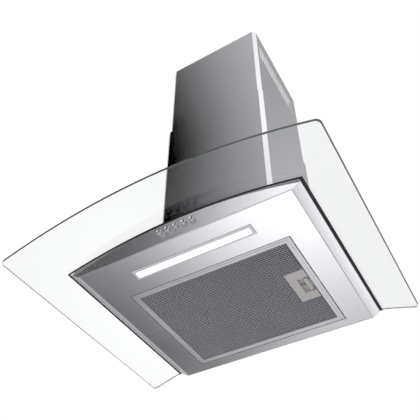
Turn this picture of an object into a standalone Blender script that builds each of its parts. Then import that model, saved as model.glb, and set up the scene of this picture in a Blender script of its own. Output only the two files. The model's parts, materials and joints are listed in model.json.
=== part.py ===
"""Chimney range hood with a bent glass canopy, flat at the back where it hangs on a wall.

X runs across the hood, +Y towards the wall and +Z up, in metres. The origin is the middle of the wall
rail's back face, which is where the hood hangs.
"""
import math

import bmesh
import bpy
from mathutils import Matrix, Vector

MM = 0.001
GAP = 0.3 * MM
SHEET = 1.0 * MM

# Heights, measured from the underside of the bottom panel.
PANEL_Z = -200 * MM
GLASS_MID_HEIGHT = 44.2 * MM
LOWER_COVER_TOP = 527 * MM
UPPER_COVER_BOTTOM = 337 * MM
UPPER_COVER_TOP = 817 * MM
HOUSING_TOP = 262 * MM

# Glass canopy.
GLASS_WIDTH = 600 * MM
GLASS_DEPTH = 484 * MM
GLASS_THICK = 5 * MM
GLASS_RADIUS = 912 * MM
GLASS_CORNER = 8 * MM
GLASS_CUT_HALF = 106 * MM
ARCH_STEP = 25 * MM

# Canopy box.
PANEL_HALF = 210.5 * MM
PANEL_FRONT = -381 * MM
RIM_HALF = 226.3 * MM
RIM_FRONT = -386 * MM
FASCIA_HEIGHT = 38 * MM
SIDE_HEIGHT = 9.5 * MM
PLATE_THICK = 1.0 * MM
SEAL_THICK = 2.5 * MM
SEAL_SIDE_OVERHANG = 5.2 * MM
SEAL_FRONT_OVERHANG = 1.5 * MM
SEAL_WIDTH = 7 * MM

# Grease filter, its opening in the panel and its hinge line along the left edge.
FILTER_HALF = 162 * MM
FILTER_FRONT = -286 * MM
FILTER_BACK = -24 * MM
FILTER_LOW = 0.8 * MM
FILTER_DEEP = 9 * MM
FILTER_LIP = 12 * MM
FILTER_PLAY = 2 * MM
FILTER_HINGE_PLAY = 0.5 * MM
FILTER_AXIS_X = -163.2 * MM

# Light bar.
LIGHT_Y = -333 * MM
LIGHT_HALF = 120 * MM
LIGHT_HALF_DEPTH = 12.5 * MM

# Push buttons.
BUTTON_COUNT = 5
BUTTON_PITCH = 16.2 * MM
BUTTON_FIRST_X = -33.5 * MM
BUTTON_HEIGHT = 20.5 * MM
BUTTON_RADIUS = 5.4 * MM
BUTTON_FRONT = -390.5 * MM

# Chimney covers.
LOWER_HALF = 129.7 * MM
LOWER_FRONT = -257.7 * MM
UPPER_HALF = 126.6 * MM
UPPER_FRONT = -253.7 * MM
UPPER_BACK = -2.5 * MM
COVER_BEVEL = 8.5 * MM
RETURN_FLANGE = 15 * MM
SLOT_COUNT = 20
SLOT_PITCH = 10.5 * MM
SLOT_WIDTH = 5 * MM
SLOT_LOW = 710 * MM
SLOT_HIGH = 770 * MM
BRACKET_LOW = 574 * MM
BRACKET_HIGH = 596 * MM

# Blower housing and what is in it.
HOUSING_HALF = 102 * MM
HOUSING_FRONT = -232 * MM
HOUSING_BACK = -8 * MM
HOUSING_SHEET = 1.2 * MM
FAN_Y = -127 * MM
FAN_HEIGHT = 178 * MM
FAN_RADIUS = 74 * MM
FAN_HALF = 56 * MM
SCROLL_HALF = 62 * MM
SCROLL_WALL = 1.5 * MM
DUCT_Y = -95 * MM
DUCT_RADIUS = 74.5 * MM
DAMPER_HEIGHT = 272 * MM

LATCH_Y = -155 * MM


def material(name, colour, roughness, metallic, alpha=1.0):
    """A plain Principled material."""
    mat = bpy.data.materials.new(name)
    mat.use_nodes = True
    shader = mat.node_tree.nodes["Principled BSDF"]
    shader.inputs["Base Color"].default_value = (*colour, 1.0)
    shader.inputs["Roughness"].default_value = roughness
    shader.inputs["Metallic"].default_value = metallic
    shader.inputs["Alpha"].default_value = alpha
    mat.diffuse_color = (*colour, alpha)
    return mat


def add_object(name, bm, mat, pivot=(0, 0, 0)):
    """Turns a bmesh in world coordinates into a named object whose origin is at pivot."""
    bmesh.ops.translate(bm, vec=-Vector(pivot), verts=bm.verts[:])
    mesh = bpy.data.meshes.new(name)
    bm.to_mesh(mesh)
    bm.free()
    obj = bpy.data.objects.new(name, mesh)
    obj.location = pivot
    bpy.context.collection.objects.link(obj)
    if mat is not None:
        mesh.materials.append(mat)
    return obj


def smooth(obj, degrees=35):
    """Shades a round piece smooth and keeps its sharp edges."""
    obj.data.shade_smooth()
    obj.data.set_sharp_from_angle(angle=math.radians(degrees))
    return obj


def combine(obj, bm, operation):
    """Cuts a shape out of an object, or adds it on, with a live Boolean."""
    index = sum(1 for modifier in obj.modifiers if modifier.type == "BOOLEAN")
    tool = add_object(f"{obj.name}_tool_{index}", bm, None)
    tool.hide_render = True
    tool.display_type = "WIRE"
    modifier = obj.modifiers.new(f"shape_{index}", "BOOLEAN")
    modifier.operation = operation
    modifier.solver = "EXACT"
    modifier.object = tool


def cut(obj, bm):
    combine(obj, bm, "DIFFERENCE")


def join(obj, bm):
    combine(obj, bm, "UNION")


def box(low, high):
    """A box between two corners."""
    bm = bmesh.new()
    low = Vector(low)
    high = Vector(high)
    size = high - low
    place = Matrix.Translation((low + high) / 2) @ Matrix.Diagonal((*size, 1))
    bmesh.ops.create_cube(bm, size=1, matrix=place)
    return bm


def rectangle(low_x, high_x, low_y, high_y, radius=0.0, steps=3):
    """The outline of a rectangle, anticlockwise, with rounded corners where radius is given."""
    corners = [(high_x, high_y, 0), (low_x, high_y, 90), (low_x, low_y, 180), (high_x, low_y, 270)]
    if radius == 0:
        return [(x, y) for x, y, _ in corners]
    points = []
    for x, y, start in corners:
        centre_x = x - math.copysign(radius, x - (low_x + high_x) / 2)
        centre_y = y - math.copysign(radius, y - (low_y + high_y) / 2)
        for step in range(steps + 1):
            angle = math.radians(start + 90 * step / steps)
            points.append((centre_x + radius * math.cos(angle), centre_y + radius * math.sin(angle)))
    return points


def circle(x, y, radius, steps=12):
    """The outline of a circle, as a polygon."""
    turns = [2 * math.pi * step / steps for step in range(steps)]
    return [(x + radius * math.cos(turn), y + radius * math.sin(turn)) for turn in turns]


def plate(outline, holes, low, high):
    """A sheet with holes: outlines in X and Y, thickness from low to high."""
    bm = bmesh.new()
    edges = []
    for loop in [outline, *holes]:
        verts = [bm.verts.new((x, y, low)) for x, y in loop]
        for first, second in zip(verts, verts[1:] + verts[:1]):
            edges.append(bm.edges.new((first, second)))
    bmesh.ops.triangle_fill(bm, edges=edges, use_beauty=True)
    raised = bmesh.ops.extrude_face_region(bm, geom=bm.faces[:])
    top = [item for item in raised["geom"] if isinstance(item, bmesh.types.BMVert)]
    bmesh.ops.translate(bm, vec=(0, 0, high - low), verts=top)
    bmesh.ops.recalc_face_normals(bm, faces=bm.faces[:])
    return bm


def turned(profile, steps, closed=True):
    """A turned shape about Z. Profile points are (radius, height)."""
    bm = bmesh.new()
    verts = [bm.verts.new((radius, 0, height)) for radius, height in profile]
    pairs = list(zip(verts, verts[1:]))
    if closed:
        pairs.append((verts[-1], verts[0]))
    edges = [bm.edges.new(pair) for pair in pairs]
    bmesh.ops.spin(bm, geom=verts + edges, cent=(0, 0, 0), axis=(0, 0, 1),
                   angle=2 * math.pi, steps=steps, use_merge=True)
    bmesh.ops.remove_doubles(bm, verts=bm.verts[:], dist=0.00001)
    bmesh.ops.recalc_face_normals(bm, faces=bm.faces[:])
    return bm


def placed(bm, position, turn=None):
    """Turns a shape about the origin and then moves it."""
    matrix = Matrix.Translation(position)
    if turn is not None:
        degrees, axis = turn
        matrix = matrix @ Matrix.Rotation(math.radians(degrees), 4, axis)
    bmesh.ops.transform(bm, matrix=matrix, verts=bm.verts[:])
    return bm


def stood_up(bm):
    """Turns a plate drawn in X and Y so that it stands in Y and Z, its thickness along X."""
    swap = Matrix(((0, 0, 1, 0), (1, 0, 0, 0), (0, 1, 0, 0), (0, 0, 0, 1)))
    bmesh.ops.transform(bm, matrix=swap, verts=bm.verts[:])
    return bm


def gathered(shapes):
    """Several separate shapes in one bmesh, as one tool to cut with."""
    together = bmesh.new()
    for shape in shapes:
        mesh = bpy.data.meshes.new("shape")
        shape.to_mesh(mesh)
        shape.free()
        together.from_mesh(mesh)
        bpy.data.meshes.remove(mesh)
    return together


def cylinder(radius, low, high, steps):
    """A solid round bar along Z."""
    return turned([(0, low), (radius, low), (radius, high), (0, high)], steps, closed=False)


def arc_drop(x):
    return GLASS_RADIUS - math.sqrt(GLASS_RADIUS ** 2 - x ** 2)


def arch_drop(x):
    """How far the arch has fallen at x, as straight facets one ARCH_STEP wide."""
    index = math.floor(abs(x) / ARCH_STEP + 1e-6)
    share = abs(x) / ARCH_STEP - index
    near = arc_drop(index * ARCH_STEP)
    far = arc_drop((index + 1) * ARCH_STEP)
    return near + (far - near) * share


def facet(bm):
    """Cuts a shape along the arch's facet lines."""
    half_count = round(GLASS_WIDTH / 2 / ARCH_STEP)
    for index in range(-half_count, half_count + 1):
        bmesh.ops.bisect_plane(bm, geom=bm.verts[:] + bm.edges[:] + bm.faces[:], dist=0.000001,
                               plane_co=(index * ARCH_STEP, 0, 0), plane_no=(1, 0, 0))
    return bm


def bent(bm):
    """Bends a flat plate over the arch."""
    facet(bm)
    for vert in bm.verts:
        vert.co.z -= arch_drop(vert.co.x)
    return bm


def seated(bm, height):
    """Cuts the foot of an upright shape to the arch: its lowest points go to height on the crown."""
    foot = min(vert.co.z for vert in bm.verts)
    facet(bm)
    for vert in bm.verts:
        if abs(vert.co.z - foot) < 0.00001:
            vert.co.z = height - arch_drop(vert.co.x)
    return bm


def above_arch(height):
    """Everything over the arch whose crown is at height, as a tool to cut with."""
    reach = GLASS_WIDTH / 2 + ARCH_STEP
    return bent(plate(rectangle(-reach, reach, -GLASS_DEPTH, 0.1), [], height, height + 0.2))


# Crown heights of the layers between the canopy box and the glass.
GLASS_LOW = PANEL_Z + GLASS_MID_HEIGHT - GLASS_THICK / 2
GLASS_HIGH = GLASS_LOW + GLASS_THICK
SEAL_HIGH = GLASS_LOW - GAP
SEAL_LOW = SEAL_HIGH - SEAL_THICK
PLATE_HIGH = SEAL_LOW - GAP
PLATE_LOW = PLATE_HIGH - PLATE_THICK
RIM_HIGH = PLATE_LOW - GAP

GLASS_SCREW_X = 117 * MM
GLASS_SCREW_YS = (-215 * MM, -32 * MM)
GLASS_SCREWS = [(side * GLASS_SCREW_X, y) for y in GLASS_SCREW_YS for side in (-1, 1)]
HOUSING_OUTLINE = (-HOUSING_HALF, HOUSING_HALF, HOUSING_FRONT, HOUSING_BACK)

# Materials.
STEEL = material("brushed_stainless", (0.62, 0.62, 0.64), 0.32, 1.0)
GALVANISED = material("galvanised_steel", (0.55, 0.57, 0.58), 0.5, 1.0)
GLASS = material("clear_glass", (0.88, 0.95, 0.93), 0.02, 0.0, 0.35)
RUBBER = material("black_rubber", (0.02, 0.02, 0.02), 0.7, 0.0)
ALUMINIUM = material("aluminium_frame", (0.72, 0.72, 0.74), 0.35, 1.0)
MESH_METAL = material("aluminium_mesh", (0.42, 0.42, 0.44), 0.45, 1.0)
BEIGE = material("beige_plastic", (0.55, 0.52, 0.49), 0.5, 0.0)
CHROME = material("chrome", (0.8, 0.8, 0.82), 0.08, 1.0)
LENS = material("frosted_lens", (0.95, 0.95, 0.95), 0.3, 0.0)
LIGHT_TRIM = material("light_trim", (0.75, 0.76, 0.77), 0.4, 0.0)
BLACK_PLASTIC = material("black_plastic", (0.03, 0.03, 0.03), 0.45, 0.0)
GREY_PLASTIC = material("grey_plastic", (0.35, 0.36, 0.37), 0.5, 0.0)
BOARD = material("circuit_board", (0.05, 0.25, 0.1), 0.5, 0.0)
SPRING_STEEL = material("spring_steel", (0.5, 0.5, 0.5), 0.3, 1.0)
ZINC = material("zinc_screw", (0.6, 0.6, 0.58), 0.35, 1.0)


# --- Glass canopy and its seal ---------------------------------------------------------------------------

def make_glass():
    half = GLASS_WIDTH / 2
    outline = rectangle(-half, half, -GLASS_DEPTH, 0, GLASS_CORNER)
    cut_out = rectangle(-GLASS_CUT_HALF, GLASS_CUT_HALF, HOUSING_FRONT - 4 * MM, HOUSING_BACK + 4 * MM)
    holes = [circle(x, y, 3.5 * MM, 8) for x, y in GLASS_SCREWS]
    add_object("glass_canopy", bent(plate(outline, [cut_out, *holes], GLASS_LOW, GLASS_HIGH)), GLASS)


def make_seal():
    outer = RIM_HALF + SEAL_SIDE_OVERHANG
    front = RIM_FRONT - SEAL_FRONT_OVERHANG
    back = -GAP
    outline = rectangle(-outer, outer, front, back)
    inner = rectangle(-outer + SEAL_WIDTH, outer - SEAL_WIDTH, front + SEAL_WIDTH, back - SEAL_WIDTH)
    add_object("glass_seal", bent(plate(outline, [inner], SEAL_LOW, SEAL_HIGH)), RUBBER)


def make_glass_screws():
    shank = 2.5 * MM
    head = 6 * MM
    for index, (x, y) in enumerate(GLASS_SCREWS, start=1):
        seat = GLASS_HIGH - arch_drop(abs(x) - head) + GAP
        foot = PLATE_LOW - arch_drop(abs(x)) - 6 * MM
        profile = [(0, foot), (shank, foot), (shank, seat), (head, seat), (head, seat + 3 * MM),
                   (head - 1.2 * MM, seat + 4.5 * MM), (0, seat + 4.5 * MM)]
        screw = placed(turned(profile, 12, closed=False), (x, y, 0))
        smooth(add_object(f"glass_screw_{index}", screw, ZINC))


# --- Canopy box ------------------------------------------------------------------------------------------

def canopy_blank(inset):
    """The canopy box as a solid: a flat panel with a steep front wall and flared side walls."""
    bm = bmesh.new()
    rise = 60 * MM
    low = PANEL_Z + inset
    side_lean = (RIM_HALF - PANEL_HALF) / SIDE_HEIGHT
    front_lean = (RIM_FRONT - PANEL_FRONT) / FASCIA_HEIGHT
    side_inset = inset * math.sqrt(1 + side_lean ** 2)
    front_inset = inset * math.sqrt(1 + front_lean ** 2)
    rings = []
    for height in (low, PANEL_Z + rise):
        half = PANEL_HALF + side_lean * (height - PANEL_Z) - side_inset
        front = PANEL_FRONT + front_lean * (height - PANEL_Z) + front_inset
        corners = [(-half, front), (half, front), (half, -GAP - inset), (-half, -GAP - inset)]
        rings.append([bm.verts.new((x, y, height)) for x, y in corners])
    bottom, top = rings
    bm.faces.new(bottom)
    bm.faces.new(top)
    for index in range(4):
        after = (index + 1) % 4
        bm.faces.new((bottom[index], bottom[after], top[after], top[index]))
    bmesh.ops.recalc_face_normals(bm, faces=bm.faces[:])
    return bm


def make_canopy_body():
    body = add_object("canopy_body", canopy_blank(0), STEEL)
    cut(body, above_arch(RIM_HIGH))
    cut(body, canopy_blank(SHEET))
    cut(body, box((-FILTER_HALF - FILTER_HINGE_PLAY, FILTER_FRONT - FILTER_PLAY, PANEL_Z - 5 * MM),
                  (FILTER_HALF + FILTER_PLAY, FILTER_BACK + FILTER_HINGE_PLAY, PANEL_Z + 5 * MM)))
    light_half = LIGHT_HALF - 4 * MM
    light_depth = LIGHT_HALF_DEPTH - 3 * MM
    cut(body, box((-light_half, LIGHT_Y - light_depth, PANEL_Z - 5 * MM),
                  (light_half, LIGHT_Y + light_depth, PANEL_Z + 5 * MM)))
    for index in range(BUTTON_COUNT):
        hole = cylinder(BUTTON_RADIUS + 0.4 * MM, -5 * MM, 5 * MM, 16)
        centre = (BUTTON_FIRST_X + index * BUTTON_PITCH, RIM_FRONT, PANEL_Z + BUTTON_HEIGHT)
        cut(body, placed(hole, centre, (90, "X")))


def make_top_plate():
    outline = rectangle(-RIM_HALF, RIM_HALF, RIM_FRONT, -GAP)
    air_half = 90 * MM
    air = rectangle(-air_half, air_half, HOUSING_FRONT + 12 * MM, HOUSING_BACK - 12 * MM)
    holes = [circle(x, y, 3 * MM, 8) for x, y in GLASS_SCREWS]
    add_object("top_plate", bent(plate(outline, [air, *holes], PLATE_LOW, PLATE_HIGH)), STEEL)


# --- Light bar -------------------------------------------------------------------------------------------

def make_light():
    outer = rectangle(-LIGHT_HALF, LIGHT_HALF, LIGHT_Y - LIGHT_HALF_DEPTH, LIGHT_Y + LIGHT_HALF_DEPTH)
    lens_half = 113.5 * MM
    lens_depth = 6.5 * MM
    inner = rectangle(-lens_half, lens_half, LIGHT_Y - lens_depth, LIGHT_Y + lens_depth)
    low = PANEL_Z - 2.3 * MM
    bezel = plate(outer, [inner], low, PANEL_Z - GAP)
    slope = 2 * MM
    for vert in bezel.verts:
        if vert.co.z < low + GAP and abs(vert.co.x) > lens_half + MM:
            vert.co.x -= math.copysign(slope, vert.co.x)
            vert.co.y -= math.copysign(slope, vert.co.y - LIGHT_Y)
    add_object("light_bezel", bezel, LIGHT_TRIM)
    add_object("light_lens", box((-lens_half + GAP, LIGHT_Y - lens_depth + GAP, low + 0.5 * MM),
                                 (lens_half - GAP, LIGHT_Y + lens_depth - GAP, PANEL_Z + MM)), LENS)
    shell_half = LIGHT_HALF - 5 * MM
    shell_depth = LIGHT_HALF_DEPTH - 4 * MM
    shell = add_object("light_holder",
                       box((-shell_half, LIGHT_Y - shell_depth, PANEL_Z + 1.3 * MM),
                           (shell_half, LIGHT_Y + shell_depth, PANEL_Z + 10 * MM)), GALVANISED)
    cut(shell, box((-shell_half + SHEET, LIGHT_Y - shell_depth + SHEET, PANEL_Z),
                   (shell_half - SHEET, LIGHT_Y + shell_depth - SHEET, PANEL_Z + 9 * MM)))
    board_half = 110 * MM
    board_depth = 5 * MM
    add_object("light_board", box((-board_half, LIGHT_Y - board_depth, PANEL_Z + 7 * MM),
                                  (board_half, LIGHT_Y + board_depth, PANEL_Z + 8.6 * MM)), BOARD)
    add_object("light_driver", box((-195 * MM, -352 * MM, PANEL_Z + 1.3 * MM),
                                   (-135 * MM, -320 * MM, PANEL_Z + 14 * MM)), GREY_PLASTIC)


# --- Push buttons and switch block -----------------------------------------------------------------------

def make_buttons():
    stem = 2.5 * MM
    head_length = 9 * MM
    length = 17.5 * MM
    dome = 0.8 * MM
    profile = [(0, 0), (stem, 0), (stem, length - head_length), (BUTTON_RADIUS, length - head_length),
               (BUTTON_RADIUS, length - dome), (BUTTON_RADIUS - dome, length), (0, length)]
    for index in range(BUTTON_COUNT):
        x = BUTTON_FIRST_X + index * BUTTON_PITCH
        place = (x, BUTTON_FRONT + length, PANEL_Z + BUTTON_HEIGHT)
        shape = placed(turned(profile, 16, closed=False), place, (90, "X"))
        smooth(add_object(f"button_{index + 1}", shape, CHROME, pivot=place))


def make_switch_block():
    low_x = BUTTON_FIRST_X - 10 * MM
    high_x = BUTTON_FIRST_X + (BUTTON_COUNT - 1) * BUTTON_PITCH + 10 * MM
    front = -377 * MM
    back = -352 * MM
    low_z = PANEL_Z + BUTTON_HEIGHT - 12 * MM
    high_z = PANEL_Z + BUTTON_HEIGHT + 10 * MM
    block = add_object("switch_block", box((low_x, front, low_z), (high_x, back, high_z)), BLACK_PLASTIC)
    for index in range(BUTTON_COUNT):
        hole = cylinder(3 * MM, -12 * MM, 12 * MM, 10)
        centre = (BUTTON_FIRST_X + index * BUTTON_PITCH, front, PANEL_Z + BUTTON_HEIGHT)
        cut(block, placed(hole, centre, (90, "X")))
    add_object("control_board", box((low_x + 5 * MM, back + GAP, low_z - 3 * MM),
                                    (high_x - 5 * MM, back + 1.9 * MM, high_z - 4 * MM)), BOARD)


# --- Grease filter ---------------------------------------------------------------------------------------

FILTER_PIVOT = (FILTER_AXIS_X, (FILTER_FRONT + FILTER_BACK) / 2, PANEL_Z)
LATCH_LOW_X = 110.5 * MM
LATCH_HIGH_X = 148.5 * MM
LATCH_HALF = 43 * MM
FILTER_UNDER = PANEL_Z + FILTER_LOW


def filter_outline(inset):
    return rectangle(-FILTER_HALF + inset, FILTER_HALF - inset, FILTER_FRONT + inset, FILTER_BACK - inset)


def make_filter_frame():
    """A channel open to the middle, folded round the mesh, with two tabs on its left edge."""
    top = FILTER_UNDER + FILTER_DEEP
    band = plate(filter_outline(0), [filter_outline(FILTER_LIP)], FILTER_UNDER, top)
    frame = add_object("filter_frame", band, ALUMINIUM, pivot=FILTER_PIVOT)
    cut(frame, plate(filter_outline(SHEET), [], FILTER_UNDER + SHEET, top - SHEET))
    for y in (-215 * MM, -95 * MM):
        join(frame, box((FILTER_AXIS_X - 3.5 * MM, y - 12 * MM, PANEL_Z + 2.9 * MM),
                        (-FILTER_HALF + 0.5 * MM, y + 12 * MM, PANEL_Z + 3.9 * MM)))
    slot = 11 * MM
    cut(frame, box((FILTER_HALF - 5 * MM, LATCH_Y - slot, PANEL_Z + 2.6 * MM),
                   (FILTER_HALF + 5 * MM, LATCH_Y + slot, PANEL_Z + 6.4 * MM)))


def make_filter_mesh():
    """Three layers of mesh, each with a bay in its right edge for the latch."""
    inset = 1.5 * MM
    outer_x = FILTER_HALF - inset
    bay_x = LATCH_LOW_X - 0.4 * MM
    bay_half = LATCH_HALF + 0.4 * MM
    bay = [(outer_x, LATCH_Y - bay_half), (bay_x, LATCH_Y - bay_half),
           (bay_x, LATCH_Y + bay_half), (outer_x, LATCH_Y + bay_half)]
    layers = {"filter_mesh_outer": (1.3, 2.3), "filter_mesh_core": (2.6, 6.2), "filter_mesh_inner": (6.5, 7.5)}
    for name, (low, high) in layers.items():
        sheet = plate(filter_outline(inset) + bay, [], FILTER_UNDER + low * MM, FILTER_UNDER + high * MM)
        add_object(name, sheet, MESH_METAL, pivot=FILTER_PIVOT)


def make_latch():
    """A moulded plate with a sunk finger pull, and the slide and spring inside it."""
    low = FILTER_UNDER - 0.2 * MM
    high = FILTER_UNDER + 7.4 * MM
    wall = 1.2 * MM
    plate_body = box((LATCH_LOW_X, LATCH_Y - LATCH_HALF, low), (LATCH_HIGH_X, LATCH_Y + LATCH_HALF, high))
    housing = add_object("latch_housing", plate_body, BEIGE, pivot=FILTER_PIVOT)
    recess_low_x = 127 * MM
    recess_half = 21 * MM
    cut(housing, box((recess_low_x, LATCH_Y - recess_half, low - MM),
                     (LATCH_HIGH_X - wall, LATCH_Y + recess_half, high - wall)))
    throat = 10.4 * MM
    cut(housing, box((LATCH_HIGH_X - 2 * MM, LATCH_Y - throat, PANEL_Z + 2.6 * MM),
                     (LATCH_HIGH_X + 2 * MM, LATCH_Y + throat, PANEL_Z + 6.4 * MM)))
    tongue = 10 * MM
    slide = add_object("latch_slide",
                       box((136 * MM, LATCH_Y - tongue, PANEL_Z + 3 * MM),
                           (FILTER_HALF + 1.2 * MM, LATCH_Y + tongue, PANEL_Z + 6 * MM)), BEIGE,
                       pivot=(136 * MM, LATCH_Y, PANEL_Z + 3 * MM))
    join(slide, box((137.5 * MM, LATCH_Y - 17 * MM, PANEL_Z + 1.2 * MM),
                    (145 * MM, LATCH_Y + 17 * MM, PANEL_Z + 4 * MM)))
    make_latch_spring((recess_low_x + GAP, 135.7 * MM))


def make_latch_spring(span):
    """A small coil between the recess wall and the slide."""
    turns = 5
    per_turn = 8
    radius = 1.6 * MM
    wire = 0.3 * MM
    start = span[0] + wire
    reach = span[1] - span[0] - 2 * wire
    bm = bmesh.new()
    rings = []
    for index in range(turns * per_turn + 1):
        angle = 2 * math.pi * index / per_turn
        centre = Vector((start + reach * index / (turns * per_turn), LATCH_Y, PANEL_Z + 4.5 * MM))
        outward = Vector((0, math.cos(angle), math.sin(angle)))
        along = Vector((1, 0, 0))
        middle = centre + radius * outward
        corners = (outward, along, -outward, -along)
        rings.append([bm.verts.new(middle + wire * corner) for corner in corners])
    for ring, after in zip(rings, rings[1:]):
        for side in range(4):
            other = (side + 1) % 4
            bm.faces.new((ring[side], ring[other], after[other], after[side]))
    bm.faces.new(rings[0])
    bm.faces.new(rings[-1])
    bmesh.ops.recalc_face_normals(bm, faces=bm.faces[:])
    add_object("latch_spring", bm, SPRING_STEEL, pivot=(span[0], LATCH_Y, PANEL_Z + 4.5 * MM))


# --- Blower ----------------------------------------------------------------------------------------------

def make_housing():
    """A box of sheet steel, open below, that stands on the top plate through the glass."""
    low_x, high_x, low_y, high_y = HOUSING_OUTLINE
    foot = PLATE_HIGH + GAP
    top = PANEL_Z + HOUSING_TOP
    blank = seated(plate(rectangle(low_x, high_x, low_y, high_y), [], foot - 20 * MM, top), foot)
    housing = add_object("blower_housing", blank, GALVANISED)
    sheet = HOUSING_SHEET
    cut(housing, box((low_x + sheet, low_y + sheet, foot - 50 * MM),
                     (high_x - sheet, high_y - sheet, top - sheet)))
    cut(housing, placed(cylinder(DUCT_RADIUS - 5 * MM, -10 * MM, 10 * MM, 32), (0, DUCT_Y, top)))


def scroll_outline(inset, height):
    """The spiral of the scroll, in Y and Z about the fan's axis, with its outlet open upwards."""
    start = math.radians(70)
    sweep = math.radians(290)
    steps = 24
    near = 80 * MM - inset
    growth = 24 * MM
    points = []
    for step in range(steps + 1):
        angle = start + sweep * step / steps
        radius = near + growth * step / steps
        points.append((radius * math.cos(angle), radius * math.sin(angle)))
    outlet_y = points[-1][0]
    cutoff_y = points[0][0] + (inset if inset else 0)
    points.append((outlet_y, height))
    points.append((cutoff_y, height))
    return points


FAN_CENTRE = (0, FAN_Y, PANEL_Z + FAN_HEIGHT)


def upright(bm):
    """Stands a plate up on the fan's axis."""
    return placed(stood_up(bm), FAN_CENTRE)


def make_scroll():
    top = HOUSING_TOP - FAN_HEIGHT - 4 * MM
    blank = upright(plate(scroll_outline(0, top), [], -SCROLL_HALF, SCROLL_HALF))
    scroll = add_object("scroll_casing", blank, GREY_PLASTIC)
    hollow = SCROLL_HALF - SCROLL_WALL
    cut(scroll, upright(plate(scroll_outline(SCROLL_WALL, top + 20 * MM), [], -hollow, hollow)))
    inlet = cylinder(60 * MM, -80 * MM, 80 * MM, 32)
    cut(scroll, placed(inlet, FAN_CENTRE, (90, "Y")))


def make_impeller():
    """A squirrel cage: two rims and blades round a middle disc and its hub."""
    inner = 66 * MM
    hub = 12 * MM
    bore = 4.3 * MM
    hub_half = 13 * MM
    disc = 1.5 * MM
    profile = [(inner, -FAN_HALF), (FAN_RADIUS, -FAN_HALF), (FAN_RADIUS, FAN_HALF), (inner, FAN_HALF),
               (inner, disc), (hub, disc), (hub, hub_half), (bore, hub_half), (bore, -hub_half),
               (hub, -hub_half), (hub, -disc), (inner, -disc)]
    steps = 40
    wheel = add_object("impeller", placed(turned(profile, steps), FAN_CENTRE, (90, "Y")), GREY_PLASTIC,
                       pivot=FAN_CENTRE)
    near = 4 * MM
    far = FAN_HALF - 5 * MM
    blades = steps // 2
    reach = 8 * MM
    windows = []
    for low_x, high_x in ((-far, -near), (near, far)):
        for index in range(blades):
            window = box((low_x, -reach, inner - reach), (high_x, reach, FAN_RADIUS + reach))
            windows.append(placed(window, (0, 0, 0), (360 * (index + 0.5) / blades, "X")))
    cut(wheel, placed(gathered(windows), FAN_CENTRE))
    shaft = cylinder(4 * MM, -15.7 * MM, 18 * MM, 12)
    smooth(add_object("motor_shaft", placed(shaft, FAN_CENTRE, (90, "Y")), SPRING_STEEL, pivot=FAN_CENTRE))


def make_motor():
    rear = -61.7 * MM
    front = -16 * MM
    can = 42 * MM
    neck = 14 * MM
    step = 5 * MM
    profile = [(0, rear), (neck, rear), (neck, rear + step), (can, rear + step), (can, front - step),
               (neck, front - step), (neck, front), (0, front)]
    shell = placed(turned(profile, 24, closed=False), FAN_CENTRE, (90, "Y"))
    smooth(add_object("motor", shell, BLACK_PLASTIC))
    arm_low = -SCROLL_HALF - 2.3 * MM
    arm_high = -SCROLL_HALF - GAP
    rim = plate(circle(0, 0, 70 * MM, 24), [circle(0, 0, 61 * MM, 24)], arm_low, arm_high)
    bracket = add_object("motor_bracket", upright(rim), GALVANISED)
    for index in range(3):
        arm = plate(rectangle(-5 * MM, 5 * MM, 0, 65 * MM), [], arm_low, arm_high)
        placed(arm, (0, 0, 0), (120 * index, "Z"))
        join(bracket, upright(arm))
    join(bracket, upright(plate(circle(0, 0, 18 * MM, 12), [], arm_low, arm_high)))


def make_electrics():
    can = [(0, 0), (14 * MM, 0), (14 * MM, 46 * MM), (12 * MM, 48 * MM), (5 * MM, 48 * MM), (5 * MM, 53 * MM),
           (0, 53 * MM)]
    shell = placed(turned(can, 16, closed=False), (83 * MM, -205 * MM, PANEL_Z + 90 * MM))
    smooth(add_object("capacitor", shell, GREY_PLASTIC))
    lid = PANEL_Z + HOUSING_TOP + GAP
    top = lid + 34 * MM
    add_object("terminal_box", box((-95 * MM, -229 * MM, lid), (-30 * MM, -186 * MM, top)), BLACK_PLASTIC)
    foot = top + GAP
    nut = [(4 * MM, 0), (11 * MM, 0), (11 * MM, 8 * MM), (8.5 * MM, 10 * MM), (7 * MM, 16 * MM),
           (4 * MM, 16 * MM)]
    gland = placed(turned(nut, 12), (-62 * MM, -207 * MM, foot))
    smooth(add_object("cable_gland", gland, BLACK_PLASTIC))


# --- Outlet collar and damper ----------------------------------------------------------------------------

DAMPER_AXIS = (0, DUCT_Y, PANEL_Z + DAMPER_HEIGHT)


def make_collar():
    foot = PANEL_Z + HOUSING_TOP + GAP
    inner = DUCT_RADIUS - 1.5 * MM
    flange = 84 * MM
    height = 44 * MM
    profile = [(inner, 0), (flange, 0), (flange, 1.5 * MM), (DUCT_RADIUS, 1.5 * MM), (DUCT_RADIUS, height),
               (inner, height)]
    smooth(add_object("outlet_collar", placed(turned(profile, 36), (0, DUCT_Y, foot)), BLACK_PLASTIC))
    pin_half = inner - 0.4 * MM
    pin = cylinder(1.5 * MM, -pin_half, pin_half, 8)
    smooth(add_object("damper_pin", placed(pin, DAMPER_AXIS, (90, "Y")), ZINC))


def make_flap(name, side):
    """Half a disc beside the pin. side is -1 for the front half and 1 for the rear half."""
    radius = DUCT_RADIUS - 3.2 * MM
    near = 2.5 * MM
    steps = 14
    first = math.asin(near / radius)
    points = []
    for step in range(steps + 1):
        angle = first + (math.pi - 2 * first) * step / steps
        points.append((radius * math.cos(angle), side * radius * math.sin(angle)))
    sheet = plate(points, [], -0.6 * MM, 0.6 * MM)
    add_object(name, placed(sheet, DAMPER_AXIS), GREY_PLASTIC, pivot=DAMPER_AXIS)


# --- Chimney covers --------------------------------------------------------------------------------------

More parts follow.
